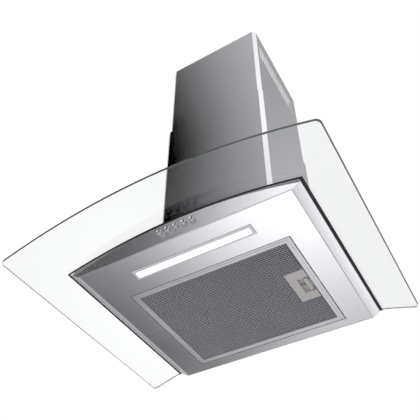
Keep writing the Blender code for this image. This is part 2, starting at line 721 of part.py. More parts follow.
def cover_outline(half, front, back):
    """A folded sheet in plan: bevelled front corners, open at the back between two short flanges."""
    def side(inset):
        bevel = COVER_BEVEL - inset * (2 - math.sqrt(2))
        return [(half - RETURN_FLANGE, back - inset), (half - inset, back - inset),
                (half - inset, front + inset + bevel), (half - inset - bevel, front + inset)]
    outer = side(0)
    inner = side(SHEET)
    outer_loop = outer + [(-x, y) for x, y in reversed(outer)]
    inner_loop = inner + [(-x, y) for x, y in reversed(inner)]
    return outer_loop + inner_loop[::-1]


def make_covers():
    low = plate(cover_outline(LOWER_HALF, LOWER_FRONT, 0), [], PANEL_Z, PANEL_Z + LOWER_COVER_TOP)
    add_object("chimney_lower", seated(low, GLASS_HIGH + GAP), STEEL)
    pivot = (0, 0, PANEL_Z + UPPER_COVER_BOTTOM)
    high = plate(cover_outline(UPPER_HALF, UPPER_FRONT, UPPER_BACK), [], pivot[2], PANEL_Z + UPPER_COVER_TOP)
    upper = add_object("chimney_upper", high, STEEL, pivot=pivot)
    middle = (UPPER_FRONT + UPPER_BACK) / 2
    through = UPPER_HALF + 20 * MM
    slots = []
    for index in range(SLOT_COUNT):
        y = middle + (index - (SLOT_COUNT - 1) / 2) * SLOT_PITCH
        slots.append(box((-through, y - SLOT_WIDTH / 2, PANEL_Z + SLOT_LOW),
                         (through, y + SLOT_WIDTH / 2, PANEL_Z + SLOT_HIGH)))
    cut(upper, gathered(slots))


# --- What holds it to the wall ---------------------------------------------------------------------------

def wall_profile(points, half_length):
    """A folded strip: points in Y and Z, run along X to both sides."""
    return stood_up(plate(points, [], -half_length, half_length))


def wall_screw(name, x, z, plate_thick):
    """A pan-head screw in a wall plate, its end level with the wall."""
    head = 5 * MM
    shank = 2.4 * MM
    seat = plate_thick + GAP
    profile = [(0, 0), (shank, 0), (shank, seat), (head, seat), (head, seat + 1.5 * MM),
               (head - 1.5 * MM, seat + 2.5 * MM), (0, seat + 2.5 * MM)]
    shape = placed(turned(profile, 12, closed=False), (x, 0, z), (90, "X"))
    smooth(add_object(name, shape, ZINC))


def make_wall_parts():
    rail_half = 90 * MM
    rail_thick = 2.5 * MM
    hole = 2.7 * MM
    rail_points = [(0, -22 * MM), (0, 22 * MM), (-rail_thick, 22 * MM), (-rail_thick, -6 * MM),
                   (-4.6 * MM, -6 * MM), (-4.6 * MM, 8 * MM), (-6.1 * MM, 8 * MM), (-6.1 * MM, -8 * MM),
                   (-rail_thick, -8 * MM), (-rail_thick, -22 * MM)]
    rail = add_object("wall_rail", wall_profile(rail_points, rail_half), GALVANISED)
    screw_x = 75 * MM
    screw_z = 15 * MM
    for name, x in (("rail_screw_left", -screw_x), ("rail_screw_right", screw_x)):
        cut(rail, placed(cylinder(hole, -10 * MM, 10 * MM, 10), (x, 0, screw_z), (90, "X")))
        wall_screw(name, x, screw_z, rail_thick)
    hook_points = [(-2.9 * MM, -5.4 * MM), (-2.9 * MM, 14 * MM), (HOUSING_BACK + GAP, 14 * MM),
                   (HOUSING_BACK + GAP, -20 * MM), (HOUSING_BACK + 1.3 * MM, -20 * MM),
                   (HOUSING_BACK + 1.3 * MM, 12.8 * MM), (-4.1 * MM, 12.8 * MM), (-4.1 * MM, -5.4 * MM)]
    add_object("hanger_hook", wall_profile(hook_points, 55 * MM), GALVANISED)


def make_upper_bracket():
    """A strip across the wall with two arms that reach the sides of the upper cover."""
    half = 104 * MM
    thick = 1.5 * MM
    reach = -60 * MM
    touch = UPPER_HALF - SHEET - GAP
    low = PANEL_Z + BRACKET_LOW
    high = PANEL_Z + BRACKET_HIGH
    right = [(half, 0), (half, reach), (touch, reach), (touch, reach - thick), (half - thick, reach - thick),
             (half - thick, -thick)]
    outline = right + [(-x, y) for x, y in reversed(right)]
    bracket = add_object("upper_bracket", plate(outline, [], low, high), GALVANISED)
    middle = (low + high) / 2
    screw_x = 70 * MM
    for name, x in (("bracket_screw_left", -screw_x), ("bracket_screw_right", screw_x)):
        cut(bracket, placed(cylinder(2.7 * MM, -10 * MM, 10 * MM, 10), (x, 0, middle), (90, "X")))
        wall_screw(name, x, middle, thick)


def main():
    for obj in list(bpy.data.objects):
        bpy.data.objects.remove(obj, do_unlink=True)
    make_glass()
    make_seal()
    make_glass_screws()
    make_canopy_body()
    make_top_plate()
    make_light()
    make_buttons()
    make_switch_block()
    make_filter_frame()
    make_filter_mesh()
    make_latch()
    make_housing()
    make_scroll()
    make_impeller()
    make_motor()
    make_electrics()
    make_collar()
    make_flap("damper_flap_front", -1)
    make_flap("damper_flap_rear", 1)
    make_covers()
    make_wall_parts()
    make_upper_bracket()


main()
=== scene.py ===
# %% [markdown]
# A kitchen range hood with a bent glass canopy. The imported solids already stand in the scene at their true
# sizes, in metres. This script gives each one its real surface, and rebuilds the pieces whose look depends
# on fine shape: the bent glass, the woven filter, the buttons, and every folded sheet edge.

import json
import math

import bpy
from mathutils import Matrix, Vector

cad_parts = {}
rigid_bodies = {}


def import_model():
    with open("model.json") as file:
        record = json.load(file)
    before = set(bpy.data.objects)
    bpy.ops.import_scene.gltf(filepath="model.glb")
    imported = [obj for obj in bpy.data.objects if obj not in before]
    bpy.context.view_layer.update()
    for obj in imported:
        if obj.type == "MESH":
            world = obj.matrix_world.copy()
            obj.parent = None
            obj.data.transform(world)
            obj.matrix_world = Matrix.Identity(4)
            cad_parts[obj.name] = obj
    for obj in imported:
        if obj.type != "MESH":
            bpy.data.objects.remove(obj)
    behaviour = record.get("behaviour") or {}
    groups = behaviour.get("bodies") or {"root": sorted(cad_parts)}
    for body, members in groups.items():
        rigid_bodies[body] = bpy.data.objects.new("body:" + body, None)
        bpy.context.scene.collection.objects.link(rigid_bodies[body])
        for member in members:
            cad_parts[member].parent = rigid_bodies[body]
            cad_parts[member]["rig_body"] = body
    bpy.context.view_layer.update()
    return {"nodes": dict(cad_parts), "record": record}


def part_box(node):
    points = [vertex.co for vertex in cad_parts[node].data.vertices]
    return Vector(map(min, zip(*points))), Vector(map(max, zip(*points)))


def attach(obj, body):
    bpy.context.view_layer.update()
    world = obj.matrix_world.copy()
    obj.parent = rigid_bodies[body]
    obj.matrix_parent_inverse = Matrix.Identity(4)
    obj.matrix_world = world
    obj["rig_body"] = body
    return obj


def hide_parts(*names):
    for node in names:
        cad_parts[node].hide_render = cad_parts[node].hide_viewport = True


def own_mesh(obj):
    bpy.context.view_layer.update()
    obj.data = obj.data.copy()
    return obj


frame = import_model()
nodes = frame["nodes"]
bpy.ops.object.select_all(action="DESELECT")

MM = 0.001
MERGE_WITHIN = 0.01 * MM
SHARP_ANGLE = 38
panel_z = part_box("canopy_body")[0].z
print("solids:", len(nodes), "panel height:", round(panel_z, 4))

# %% [markdown]
# The camera looks up at the hood from the front right, as someone standing at the hob would. Its lens is
# moved up a little, like a view camera, so that the tall cover fits without tilting the view further.

# %% Camera
camera_data = bpy.data.cameras.new("camera")
camera = bpy.data.objects.new("camera", camera_data)
bpy.context.scene.collection.objects.link(camera)
bpy.context.scene.camera = camera
camera_data.sensor_width = 36
camera_data.lens = 52.17
camera_data.shift_y = 0.0851
camera.location = (0.40996, -0.98253, panel_z - 0.7172)
look = Vector((-0.3606, 0.6257, 0.6917))
camera.rotation_euler = look.to_track_quat("-Z", "Y").to_euler()
print("camera elevation:", round(math.degrees(math.asin(look.z)), 1))

# %% [markdown]
# Two helpers carry every material. The first turns the sRGB hex colour that a paint chart or a colour
# picker gives into the linear value that the shader wants. The second adds one node, sets it up, and links
# whatever it is given.

# %% Colour and node helpers


def linear(code, alpha=1.0):
    """An sRGB hex colour as linear values."""
    values = [int(code[index:index + 2], 16) / 255 for index in (1, 3, 5)]
    bent = [v / 12.92 if v <= 0.04045 else ((v + 0.055) / 1.055) ** 2.4 for v in values]
    return (*bent, alpha)


def add(tree, kind, inputs=None, **settings):
    """Adds a node. An input is given as a value, or as an output socket to link from."""
    item = tree.nodes.new(kind)
    for key, value in settings.items():
        setattr(item, key, value)
    for key, value in (inputs or {}).items():
        if isinstance(value, bpy.types.NodeSocket):
            tree.links.new(value, item.inputs[key])
        else:
            item.inputs[key].default_value = value
    return item


def new_material(name):
    """An empty material: its tree, its Principled shader and the object coordinates to draw patterns on."""
    mat = bpy.data.materials.new(name)
    mat.use_nodes = True
    tree = mat.node_tree
    shader = tree.nodes["Principled BSDF"]
    place = add(tree, "ShaderNodeTexCoord").outputs["Object"]
    return mat, tree, shader, place


# %% [markdown]
# Polished and brushed metal shows what is around it more than its own colour. A product studio hangs big
# white cards and leaves dark gaps between them, so a flat sheet runs from dark to bright. The world does
# that here: each card is a soft patch of light in one direction, and a dark gap is a negative patch. What
# the camera sees directly, or through the glass, is plain white.

# %% Studio surroundings
BASE_LIGHT = 0.72
CARDS = [
    ((-0.33, -0.43, 0.84), 0.012, -0.52),
    ((-0.42, -0.30, 0.86), 0.012, -0.40),
    ((-0.43, -0.55, 0.72), 0.012, -0.40),
    ((-0.55, -0.44, 0.71), 0.015, -0.40),
    ((-0.50, -0.72, 0.48), 0.045, -0.66),
    ((-0.18, -0.48, 0.86), 0.010, 0.20),
    ((-0.18, -0.82, 0.55), 0.014, 1.90),
    ((0.54, -0.21, 0.81), 0.030, 1.00),
    ((0.15, 0.50, 0.87), 0.012, -0.30),
    ((-0.21, 0.62, -0.76), 0.010, 1.25),
    ((-0.17, 0.73, -0.66), 0.010, 0.55),
    ((-0.34, 0.55, -0.77), 0.010, 0.45),
    ((0.57, 0.72, -0.40), 0.030, 1.10),
    ((-0.45, 0.72, -0.53), 0.010, -0.45),
    ((-0.60, 0.60, -0.53), 0.010, -0.45),
    ((-0.26, 0.80, -0.53), 0.010, -0.20),
    ((-0.54, 0.52, -0.66), 0.010, -0.30),
]

world = bpy.data.worlds.new("studio")
bpy.context.scene.world = world
world.use_nodes = True
sky = world.node_tree
sky.nodes.clear()
direction = add(sky, "ShaderNodeTexCoord").outputs["Generated"]
total = add(sky, "ShaderNodeValue").outputs[0]
total.default_value = BASE_LIGHT
for toward, spread, strength in CARDS:
    facing = add(sky, "ShaderNodeVectorMath", {0: direction, 1: Vector(toward).normalized()},
                 operation="DOT_PRODUCT").outputs["Value"]
    away = add(sky, "ShaderNodeMath", {0: facing, 1: 1.0}, operation="SUBTRACT").outputs[0]
    scaled = add(sky, "ShaderNodeMath", {0: away, 1: 1 / spread}, operation="MULTIPLY").outputs[0]
    patch = add(sky, "ShaderNodeMath", {0: scaled}, operation="EXPONENT").outputs[0]
    total = add(sky, "ShaderNodeMath", {0: patch, 1: strength, 2: total},
                operation="MULTIPLY_ADD").outputs[0]
studio = add(sky, "ShaderNodeBackground", {"Color": linear("#fbfbff"), "Strength": total}).outputs[0]
plain = add(sky, "ShaderNodeBackground", {"Color": (1, 1, 1, 1), "Strength": 1.0}).outputs[0]
rays = add(sky, "ShaderNodeLightPath").outputs
bounces = add(sky, "ShaderNodeMath", {0: rays["Glossy Depth"], 1: rays["Diffuse Depth"]}).outputs[0]
seen = add(sky, "ShaderNodeMath", {0: bounces, 1: 0.5}, operation="LESS_THAN").outputs[0]
mixed = add(sky, "ShaderNodeMixShader", {0: seen, 1: studio, 2: plain}).outputs[0]
add(sky, "ShaderNodeOutputWorld", {"Surface": mixed})
bpy.context.scene.view_settings.view_transform = "Standard"
print("studio cards:", len(CARDS))

# %% [markdown]
# The hood hangs in the air, so the floor lies about two metres below it. It is left out of mirror
# reflections, so the underside of the hood shows the studio cards rather than the floor.

# %% Floor and lamps
bpy.ops.mesh.primitive_plane_add(size=16, location=(0, 0, panel_z - 2.0))
floor = bpy.context.object
floor.name = "floor"
floor.visible_glossy = False
floor_mat, tree, shader, place = new_material("matt_pale_floor")
cloud = add(tree, "ShaderNodeTexNoise", {"Vector": place, "Scale": 1.5, "Detail": 4.0}).outputs["Fac"]
tone = add(tree, "ShaderNodeMapRange", {"Value": cloud, "To Min": 0.80, "To Max": 0.86}).outputs[0]
grey = add(tree, "ShaderNodeCombineColor", {0: tone, 1: tone, 2: tone}).outputs[0]
tree.links.new(grey, shader.inputs["Base Color"])
shader.inputs["Roughness"].default_value = 0.9
floor.data.materials.append(floor_mat)

LAMPS = [("key_lamp", (1.4, -1.6, 1.6), 2.0, 40), ("fill_lamp", (-1.6, -1.0, 0.4), 2.0, 14),
         ("under_lamp", (0.5, -1.2, -1.0), 1.2, 7), ("back_lamp", (0.6, 2.0, 1.0), 2.0, 20)]
for name, spot, size, power in LAMPS:
    lamp_data = bpy.data.lights.new(name, "AREA")
    lamp_data.size = size
    lamp_data.energy = power
    lamp = bpy.data.objects.new(name, lamp_data)
    lamp.location = spot
    lamp.rotation_euler = (Vector((0, -0.2, 0.1)) - Vector(spot)).to_track_quat("-Z", "Y").to_euler()
    lamp.visible_glossy = False
    lamp.visible_transmission = False
    bpy.context.scene.collection.objects.link(lamp)
print("lamps:", len(LAMPS))

# %% [markdown]
# Brushed stainless steel, AISI 304. The sheet is drawn under an abrasive belt, which leaves fine scratches
# in one direction: they spread highlights across the grain and show as faint streaks. The real scratches
# are hundredths of a millimetre wide, too fine to show, so the streaks are drawn about half a millimetre
# apart. A slow cloud in the roughness is where hands and cloths have been.

# %% Brushed stainless steel
STREAK_PER_M = 1 / (0.5 * MM)
STREAK_LENGTH_PER_M = 1 / (80 * MM)


def brushed_steel(name, grain, colour="#cfcfd0", roughness=0.16):
    """Brushed steel whose grain runs along X, Y or Z."""
    mat, tree, shader, place = new_material(name)
    scale = [STREAK_PER_M] * 3
    scale["XYZ".index(grain)] = STREAK_LENGTH_PER_M
    stretched = add(tree, "ShaderNodeMapping", {"Vector": place, "Scale": scale}).outputs[0]
    streaks = add(tree, "ShaderNodeTexNoise",
                  {"Vector": stretched, "Scale": 1.0, "Detail": 3.0, "Roughness": 0.65}).outputs["Fac"]
    smudge = add(tree, "ShaderNodeTexNoise", {"Vector": place, "Scale": 9.0, "Detail": 5.0}).outputs["Fac"]
    shade = add(tree, "ShaderNodeMapRange", {"Value": streaks, "From Min": 0.25, "From Max": 0.75,
                                             "To Min": 0.95, "To Max": 1.04}).outputs[0]
    tint = add(tree, "ShaderNodeMix", {"Factor": smudge, "A": linear(colour), "B": linear("#cacacb")},
               data_type="RGBA").outputs["Result"]
    toned = add(tree, "ShaderNodeVectorMath", {0: tint, "Scale": shade}, operation="SCALE").outputs[0]
    tree.links.new(toned, shader.inputs["Base Color"])
    soft = add(tree, "ShaderNodeMapRange", {"Value": smudge, "From Min": 0.3, "From Max": 0.7,
                                            "To Min": roughness - 0.01,
                                            "To Max": roughness + 0.02}).outputs[0]
    fine = add(tree, "ShaderNodeMath", {0: streaks, 1: 0.06, 2: soft}, operation="MULTIPLY_ADD").outputs[0]
    tree.links.new(fine, shader.inputs["Roughness"])
    relief = add(tree, "ShaderNodeBump", {"Height": streaks, "Strength": 0.06, "Distance": 0.02 * MM})
    tree.links.new(relief.outputs[0], shader.inputs["Normal"])
    shader.inputs["Metallic"].default_value = 1.0
    return mat


steel_across = brushed_steel("brushed_stainless_across", "X")
steel_upright = brushed_steel("brushed_stainless_upright", "Z", roughness=0.15)
print("steels made")

# %% [markdown]
# Toughened soda-lime glass, float glass bent over a mould and then heat treated. Its faces are fire
# polished and clear, with a trace of green from iron. The edge is ground and polished by a pencil wheel:
# light that enters there runs a long way through the glass, so an edge looks dark grey-green.

# %% Glass
glass_clear, tree, shader, place = new_material("toughened_float_glass")
drift = add(tree, "ShaderNodeTexNoise", {"Vector": place, "Scale": 3.0, "Detail": 2.0}).outputs["Fac"]
faint = add(tree, "ShaderNodeMix", {"Factor": drift, "A": linear("#fbfcfc"), "B": linear("#f6f7f8")},
            data_type="RGBA").outputs["Result"]
tree.links.new(faint, shader.inputs["Base Color"])
wipe = add(tree, "ShaderNodeTexNoise", {"Vector": place, "Scale": 40.0, "Detail": 3.0}).outputs["Fac"]
tree.links.new(add(tree, "ShaderNodeMapRange", {"Value": wipe, "To Min": 0.0, "To Max": 0.015}).outputs[0],
               shader.inputs["Roughness"])
shader.inputs["Transmission Weight"].default_value = 1.0
shader.inputs["IOR"].default_value = 1.5

glass_rim, tree, shader, place = new_material("ground_glass_edge")
wheel = add(tree, "ShaderNodeTexNoise", {"Vector": place, "Scale": 60.0, "Detail": 4.0}).outputs["Fac"]
depth = add(tree, "ShaderNodeMix", {"Factor": wheel, "A": linear("#2c3031"), "B": linear("#525958")},
            data_type="RGBA").outputs["Result"]
tree.links.new(depth, shader.inputs["Base Color"])
tree.links.new(add(tree, "ShaderNodeMapRange", {"Value": wheel, "To Min": 0.12, "To Max": 0.25}).outputs[0],
               shader.inputs["Roughness"])
shader.inputs["IOR"].default_value = 1.5
print("glass made")

# %% [markdown]
# The rest are made in the same way from a short description each: two colours that drift into each other,
# the size of the drift, a range of roughness, and a relief. A moulded plastic has a fine spark-eroded
# grain from its tool, zinc has crystals, and rubber has a dull bloom.

# %% Plastics, rubber and small metals
FINISHES = {
    "epdm_rubber_extruded": ("#161617", "#242426", 0.6 * MM, (0.55, 0.75), 0.05, 0.0),
    "abs_moulded_beige": ("#aeaaa8", "#a29e9c", 0.7 * MM, (0.42, 0.55), 0.04, 0.0),
    "nylon_moulded_black": ("#1b1b1c", "#29292b", 0.8 * MM, (0.40, 0.55), 0.05, 0.0),
    "abs_moulded_grey": ("#6c6f72", "#5f6265", 0.9 * MM, (0.42, 0.58), 0.05, 0.0),
    "powder_coated_trim": ("#c6c6c9", "#b8b8bb", 0.8 * MM, (0.32, 0.45), 0.05, 0.0),
    "aluminium_folded_satin": ("#cfcfd0", "#bfbfc1", 1.5 * MM, (0.30, 0.42), 0.03, 1.0),
    "aluminium_wire_drawn": ("#b9b9be", "#a3a3a9", 1.2 * MM, (0.34, 0.48), 0.03, 1.0),
    "aluminium_wire_packed": ("#68686c", "#545458", 1.6 * MM, (0.45, 0.60), 0.05, 1.0),
    "zinc_plated_steel": ("#c4c5bd", "#a8aba8", 1.0 * MM, (0.25, 0.40), 0.03, 1.0),
    "spring_wire_drawn": ("#a9a9ad", "#8e8e93", 0.6 * MM, (0.22, 0.34), 0.02, 1.0),
    "solder_mask_green": ("#1c5a34", "#174a2c", 2.0 * MM, (0.25, 0.40), 0.04, 0.0),
}


def finish_from(name, light, dark, grain, roughness, relief_mm, metallic):
    """A material from its two colours, grain size, roughness range and relief."""
    mat, tree, shader, place = new_material(name)
    wide = add(tree, "ShaderNodeTexNoise", {"Vector": place, "Scale": 14.0, "Detail": 5.0}).outputs["Fac"]
    fine = add(tree, "ShaderNodeTexNoise",
               {"Vector": place, "Scale": 1 / grain, "Detail": 2.0}).outputs["Fac"]
    both = add(tree, "ShaderNodeMath", {0: wide, 1: fine}, operation="MULTIPLY").outputs[0]
    blend = add(tree, "ShaderNodeMapRange", {"Value": both, "From Min": 0.1, "From Max": 0.42}).outputs[0]
    colour = add(tree, "ShaderNodeMix", {"Factor": blend, "A": linear(dark), "B": linear(light)},
                 data_type="RGBA").outputs["Result"]
    tree.links.new(colour, shader.inputs["Base Color"])
    rough = add(tree, "ShaderNodeMapRange", {"Value": wide, "From Min": 0.3, "From Max": 0.7,
                                             "To Min": roughness[0], "To Max": roughness[1]}).outputs[0]
    tree.links.new(rough, shader.inputs["Roughness"])
    relief = add(tree, "ShaderNodeBump", {"Height": fine, "Strength": 0.3, "Distance": relief_mm * MM})
    tree.links.new(relief.outputs[0], shader.inputs["Normal"])
    shader.inputs["Metallic"].default_value = metallic
    return mat


made = {name: finish_from(name, *values) for name, values in FINISHES.items()}
print("finishes:", len(made))

# %% [markdown]
# Hot-dip galvanised sheet is steel that was drawn through molten zinc. The zinc freezes into flat crystals
# a few millimetres across, each with its own brightness. Voronoi cells have that shape.

# %% Galvanised sheet
galvanised, tree, shader, place = new_material("hot_dip_galvanised_sheet")
crystal = add(tree, "ShaderNodeTexVoronoi", {"Vector": place, "Scale": 1 / (7 * MM)}).outputs["Color"]
level = add(tree, "ShaderNodeSeparateColor", {0: crystal}).outputs[0]
spangle = add(tree, "ShaderNodeMix", {"Factor": level, "A": linear("#a4aaad"), "B": linear("#c3c8ca")},
              data_type="RGBA").outputs["Result"]
tree.links.new(spangle, shader.inputs["Base Color"])
tree.links.new(add(tree, "ShaderNodeMapRange", {"Value": level, "To Min": 0.34, "To Max": 0.50}).outputs[0],
               shader.inputs["Roughness"])
shader.inputs["Metallic"].default_value = 1.0
print("galvanised sheet made")

# %% [markdown]
# Chrome plate on a turned brass button is the brightest mirror on the hood. Only a faint haze of finger
# marks in its roughness keeps it from looking perfect.

# %% Chrome
chrome, tree, shader, place = new_material("chrome_plated_brass")
touch = add(tree, "ShaderNodeTexNoise", {"Vector": place, "Scale": 300.0, "Detail": 3.0}).outputs["Fac"]
bright = add(tree, "ShaderNodeMix", {"Factor": touch, "A": linear("#e4e5ea"), "B": linear("#d6d8de")},
             data_type="RGBA").outputs["Result"]
tree.links.new(bright, shader.inputs["Base Color"])
tree.links.new(add(tree, "ShaderNodeMapRange", {"Value": touch, "To Min": 0.02, "To Max": 0.07}).outputs[0],
               shader.inputs["Roughness"])
shader.inputs["Metallic"].default_value = 1.0
print("chrome made")

# %% [markdown]
# The lamp lens is opal acrylic with a row of LEDs close behind it. Opal scatters the light until the row
# is one bar, a little brighter over each LED and dimmer at the two ends.

# %% Lit opal lens
opal, tree, shader, place = new_material("opal_acrylic_lit")
along = add(tree, "ShaderNodeSeparateXYZ", {0: place}).outputs["X"]
LED_PITCH = 8 * MM
FADE_START = 100 * MM
FADE_END = 113 * MM
wave = add(tree, "ShaderNodeMath", {0: along, 1: 2 * math.pi / LED_PITCH}, operation="MULTIPLY").outputs[0]
ripple = add(tree, "ShaderNodeMath", {0: wave}, operation="COSINE").outputs[0]
glow = add(tree, "ShaderNodeMapRange",
           {"Value": ripple, "From Min": -1.0, "To Min": 2.6, "To Max": 3.0}).outputs[0]
ends = add(tree, "ShaderNodeMath", {0: along}, operation="ABSOLUTE").outputs[0]
fade = add(tree, "ShaderNodeMapRange", {"Value": ends, "From Min": FADE_START, "From Max": FADE_END,
                                        "To Min": 1.0, "To Max": 0.6}).outputs[0]
power = add(tree, "ShaderNodeMath", {0: glow, 1: fade}, operation="MULTIPLY").outputs[0]
tree.links.new(power, shader.inputs["Emission Strength"])
shader.inputs["Emission Color"].default_value = linear("#fbfcff")
shader.inputs["Base Color"].default_value = linear("#f2f3f5")
shader.inputs["Roughness"].default_value = 0.35
print("lens lit")

# %% [markdown]
# A folded sheet has a small radius on every bend and a broken burr on every cut edge, and that is where it
# catches light. The solids have perfectly sharp edges, so each shown piece is a copy: its loose triangles
# are merged, flat areas are joined up again, and a bevel rounds the edges by a real radius.

# %% Rounded copies of the solids


def only(obj):
    """Makes obj the one selected and active object."""
    bpy.ops.object.select_all(action="DESELECT")
    obj.select_set(True)
    bpy.context.view_layer.objects.active = obj


def worn_on(obj, body, mat, slot, *replaced):
    """Gives a piece its material, hides the solids it replaces and attaches it to its body. The slot
    argument is not used.
    """
    if mat is not None:
        obj.data.materials.clear()
        obj.data.materials.append(mat)
    if replaced:
        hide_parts(*replaced)
    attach(obj, body)


def level_shading(piece, angle):
    """Smooths the shading over the rounded edges and keeps each large face flat."""
    bpy.ops.object.shade_smooth_by_angle(angle=math.radians(angle))
    piece.modifiers.new("level", "WEIGHTED_NORMAL").keep_sharp = True
    bpy.ops.object.modifier_apply(modifier="level")


def rounded_copy(name, radius):
    """A copy of a solid with its sharp edges rounded."""
    piece = bpy.data.objects.new(name + "_piece", nodes[name].data.copy())
    bpy.context.scene.collection.objects.link(piece)
    only(piece)
    bpy.ops.object.mode_set(mode="EDIT")
    bpy.ops.mesh.select_all(action="SELECT")
    bpy.ops.mesh.remove_doubles(threshold=MERGE_WITHIN)
    bpy.ops.mesh.dissolve_limited(angle_limit=math.radians(0.5))
    bpy.ops.object.mode_set(mode="OBJECT")
    bevel = piece.modifiers.new("edge", "BEVEL")
    bevel.width = radius
    bevel.segments = 2
    bevel.limit_method = "ANGLE"
    bevel.angle_limit = math.radians(SHARP_ANGLE)
    bpy.ops.object.modifier_apply(modifier="edge")
    level_shading(piece, SHARP_ANGLE)
    return piece


slot_of = {entry["node"]: entry["material_slot"] for entry in frame["record"]["subparts"]}
ROUNDED = {
    "canopy_body": (0.45, steel_across),
    "top_plate": (0.25, steel_across),
    "glass_seal": (0.9, made["epdm_rubber_extruded"]),
    "light_bezel": (0.4, made["powder_coated_trim"]),
    "light_lens": (0.3, opal),
    "light_holder": (0.25, galvanised),
    "light_board": (0.2, made["solder_mask_green"]),
    "light_driver": (1.2, made["abs_moulded_grey"]),
    "switch_block": (0.6, made["nylon_moulded_black"]),
    "control_board": (0.2, made["solder_mask_green"]),
    "filter_frame": (0.35, made["aluminium_folded_satin"]),
    "filter_mesh_core": (0.3, made["aluminium_wire_packed"]),
    "filter_mesh_inner": (0.2, made["aluminium_wire_packed"]),
    "latch_housing": (0.7, made["abs_moulded_beige"]),
    "latch_slide": (0.6, made["abs_moulded_beige"]),
    "blower_housing": (0.4, galvanised),
    "scroll_casing": (0.5, made["abs_moulded_grey"]),
    "motor_bracket": (0.4, galvanised),
    "terminal_box": (1.5, made["nylon_moulded_black"]),
    "damper_flap_front": (0.3, made["abs_moulded_grey"]),
    "damper_flap_rear": (0.3, made["abs_moulded_grey"]),
    "chimney_lower": (0.35, steel_upright),
    "chimney_upper": (0.35, steel_upright),
    "wall_rail": (0.4, galvanised),
    "hanger_hook": (0.4, galvanised),
    "upper_bracket": (0.4, galvanised),
}
pieces = {}
for name, (radius, mat) in ROUNDED.items():
    pieces[name] = rounded_copy(name, radius * MM)
    worn_on(pieces[name], nodes[name]["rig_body"], mat, slot_of[name], name)
print("rounded pieces:", len(pieces), "faces:", sum(len(p.data.polygons) for p in pieces.values()))

# %% [markdown]
# The bottom panel is its own sheet, let in behind the folds of the fascia and the side walls, and the joint
# shows as a fine dark line just inside the fold. It is a real groove: a thin upright ring, made from a
# plane by one inset whose middle is deleted and then raised, is cut out of the sheet with a Boolean.

# %% Joint line round the bottom panel
JOINT_WIDTH = 1.0 * MM
JOINT_INSET = 1.0 * MM
JOINT_DEPTH = 0.7 * MM
PANEL_HALF = 210.5 * MM
PANEL_FRONT = -381 * MM
body_low, body_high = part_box("canopy_body")
ring_depth = body_high.y - PANEL_FRONT
bpy.ops.object.select_all(action="DESELECT")
bpy.ops.mesh.primitive_plane_add(size=1, location=(0, 0, 0))
joint = bpy.context.object
bpy.ops.object.mode_set(mode="EDIT")
bpy.ops.transform.resize(value=(2 * (PANEL_HALF - JOINT_INSET), ring_depth - 2 * JOINT_INSET, 1))
bpy.ops.mesh.inset(thickness=JOINT_WIDTH, depth=0)
bpy.ops.mesh.delete(type="FACE")
bpy.ops.mesh.select_all(action="SELECT")
bpy.ops.mesh.extrude_region_move(TRANSFORM_OT_translate={"value": (0, 0, 2 * JOINT_DEPTH)})
bpy.ops.mesh.select_all(action="SELECT")
bpy.ops.mesh.normals_make_consistent(inside=False)
bpy.ops.object.mode_set(mode="OBJECT")
joint.data.transform(Matrix.Translation((0, (PANEL_FRONT + body_high.y) / 2, panel_z - JOINT_DEPTH)))
only(pieces["canopy_body"])
groove = pieces["canopy_body"].modifiers.new("groove", "BOOLEAN")
groove.object = joint
groove.solver = "EXACT"
bpy.ops.object.modifier_apply(modifier="groove")
bpy.data.objects.remove(joint)
level_shading(pieces["canopy_body"], SHARP_ANGLE)
print("canopy faces:", len(pieces["canopy_body"].data.polygons))

# %% [markdown]
# Some solids have a shape that is already right, such as the turned ones. They keep their mesh and take a
# material.

# %% Materials on the turned solids
KEPT = {
    "impeller": made["abs_moulded_grey"], "motor_shaft": made["spring_wire_drawn"],
    "motor": made["nylon_moulded_black"], "capacitor": made["abs_moulded_grey"],
    "cable_gland": made["nylon_moulded_black"], "outlet_collar": made["nylon_moulded_black"],
    "damper_pin": made["zinc_plated_steel"],
}
screws = [name for name in nodes if "screw" in name]
KEPT.update({name: made["zinc_plated_steel"] for name in screws})
for name, mat in KEPT.items():
    nodes[name].data.materials.clear()
    nodes[name].data.materials.append(mat)
print("kept solids:", len(KEPT))

# %% [markdown]
# The canopy is one sheet of float glass, bent to an arc. A lathe-like sweep makes it exactly: a thin upright
# rectangle, the glass seen edge-on from the side, is swung about the arc's axis. A bend modifier would also
# do, but it shortens the sheet, and the sweep keeps the true radius.

# %% Bent glass
glass_low, glass_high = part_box("glass_canopy")
GLASS_THICK = 5 * MM
GLASS_RADIUS = 912 * MM
END_PLAY = 0.9 * MM
glass_mid = glass_high.z - GLASS_THICK / 2
axis_z = glass_mid - GLASS_RADIUS
half_swing = math.asin((glass_high.x - END_PLAY) / (GLASS_RADIUS + GLASS_THICK / 2))
depth_y = glass_high.y - glass_low.y
SWEEP_STEPS = 72

bpy.ops.object.select_all(action="DESELECT")
bpy.ops.mesh.primitive_plane_add(size=1, location=(0, 0, 0))
glass = bpy.context.object
glass.name = "bent_glass"
bpy.ops.object.mode_set(mode="EDIT")
bpy.ops.transform.resize(value=(GLASS_THICK, depth_y, 1))
bpy.ops.object.mode_set(mode="OBJECT")
start = (Matrix.Translation((0, 0, axis_z)) @ Matrix.Rotation(-half_swing, 4, "Y")
         @ Matrix.Translation((0, (glass_low.y + glass_high.y) / 2, GLASS_RADIUS))
         @ Matrix.Rotation(math.radians(90), 4, "Y"))
glass.data.transform(start)
bpy.ops.object.mode_set(mode="EDIT")
bpy.ops.mesh.select_all(action="SELECT")
bpy.ops.mesh.spin(steps=SWEEP_STEPS, angle=2 * half_swing, center=(0, 0, axis_z), axis=(0, -1, 0))
bpy.ops.mesh.select_all(action="SELECT")
bpy.ops.mesh.remove_doubles(threshold=MERGE_WITHIN)
bpy.ops.mesh.normals_make_consistent(inside=False)
bpy.ops.object.mode_set(mode="OBJECT")
xs = [v.co.x for v in glass.data.vertices]
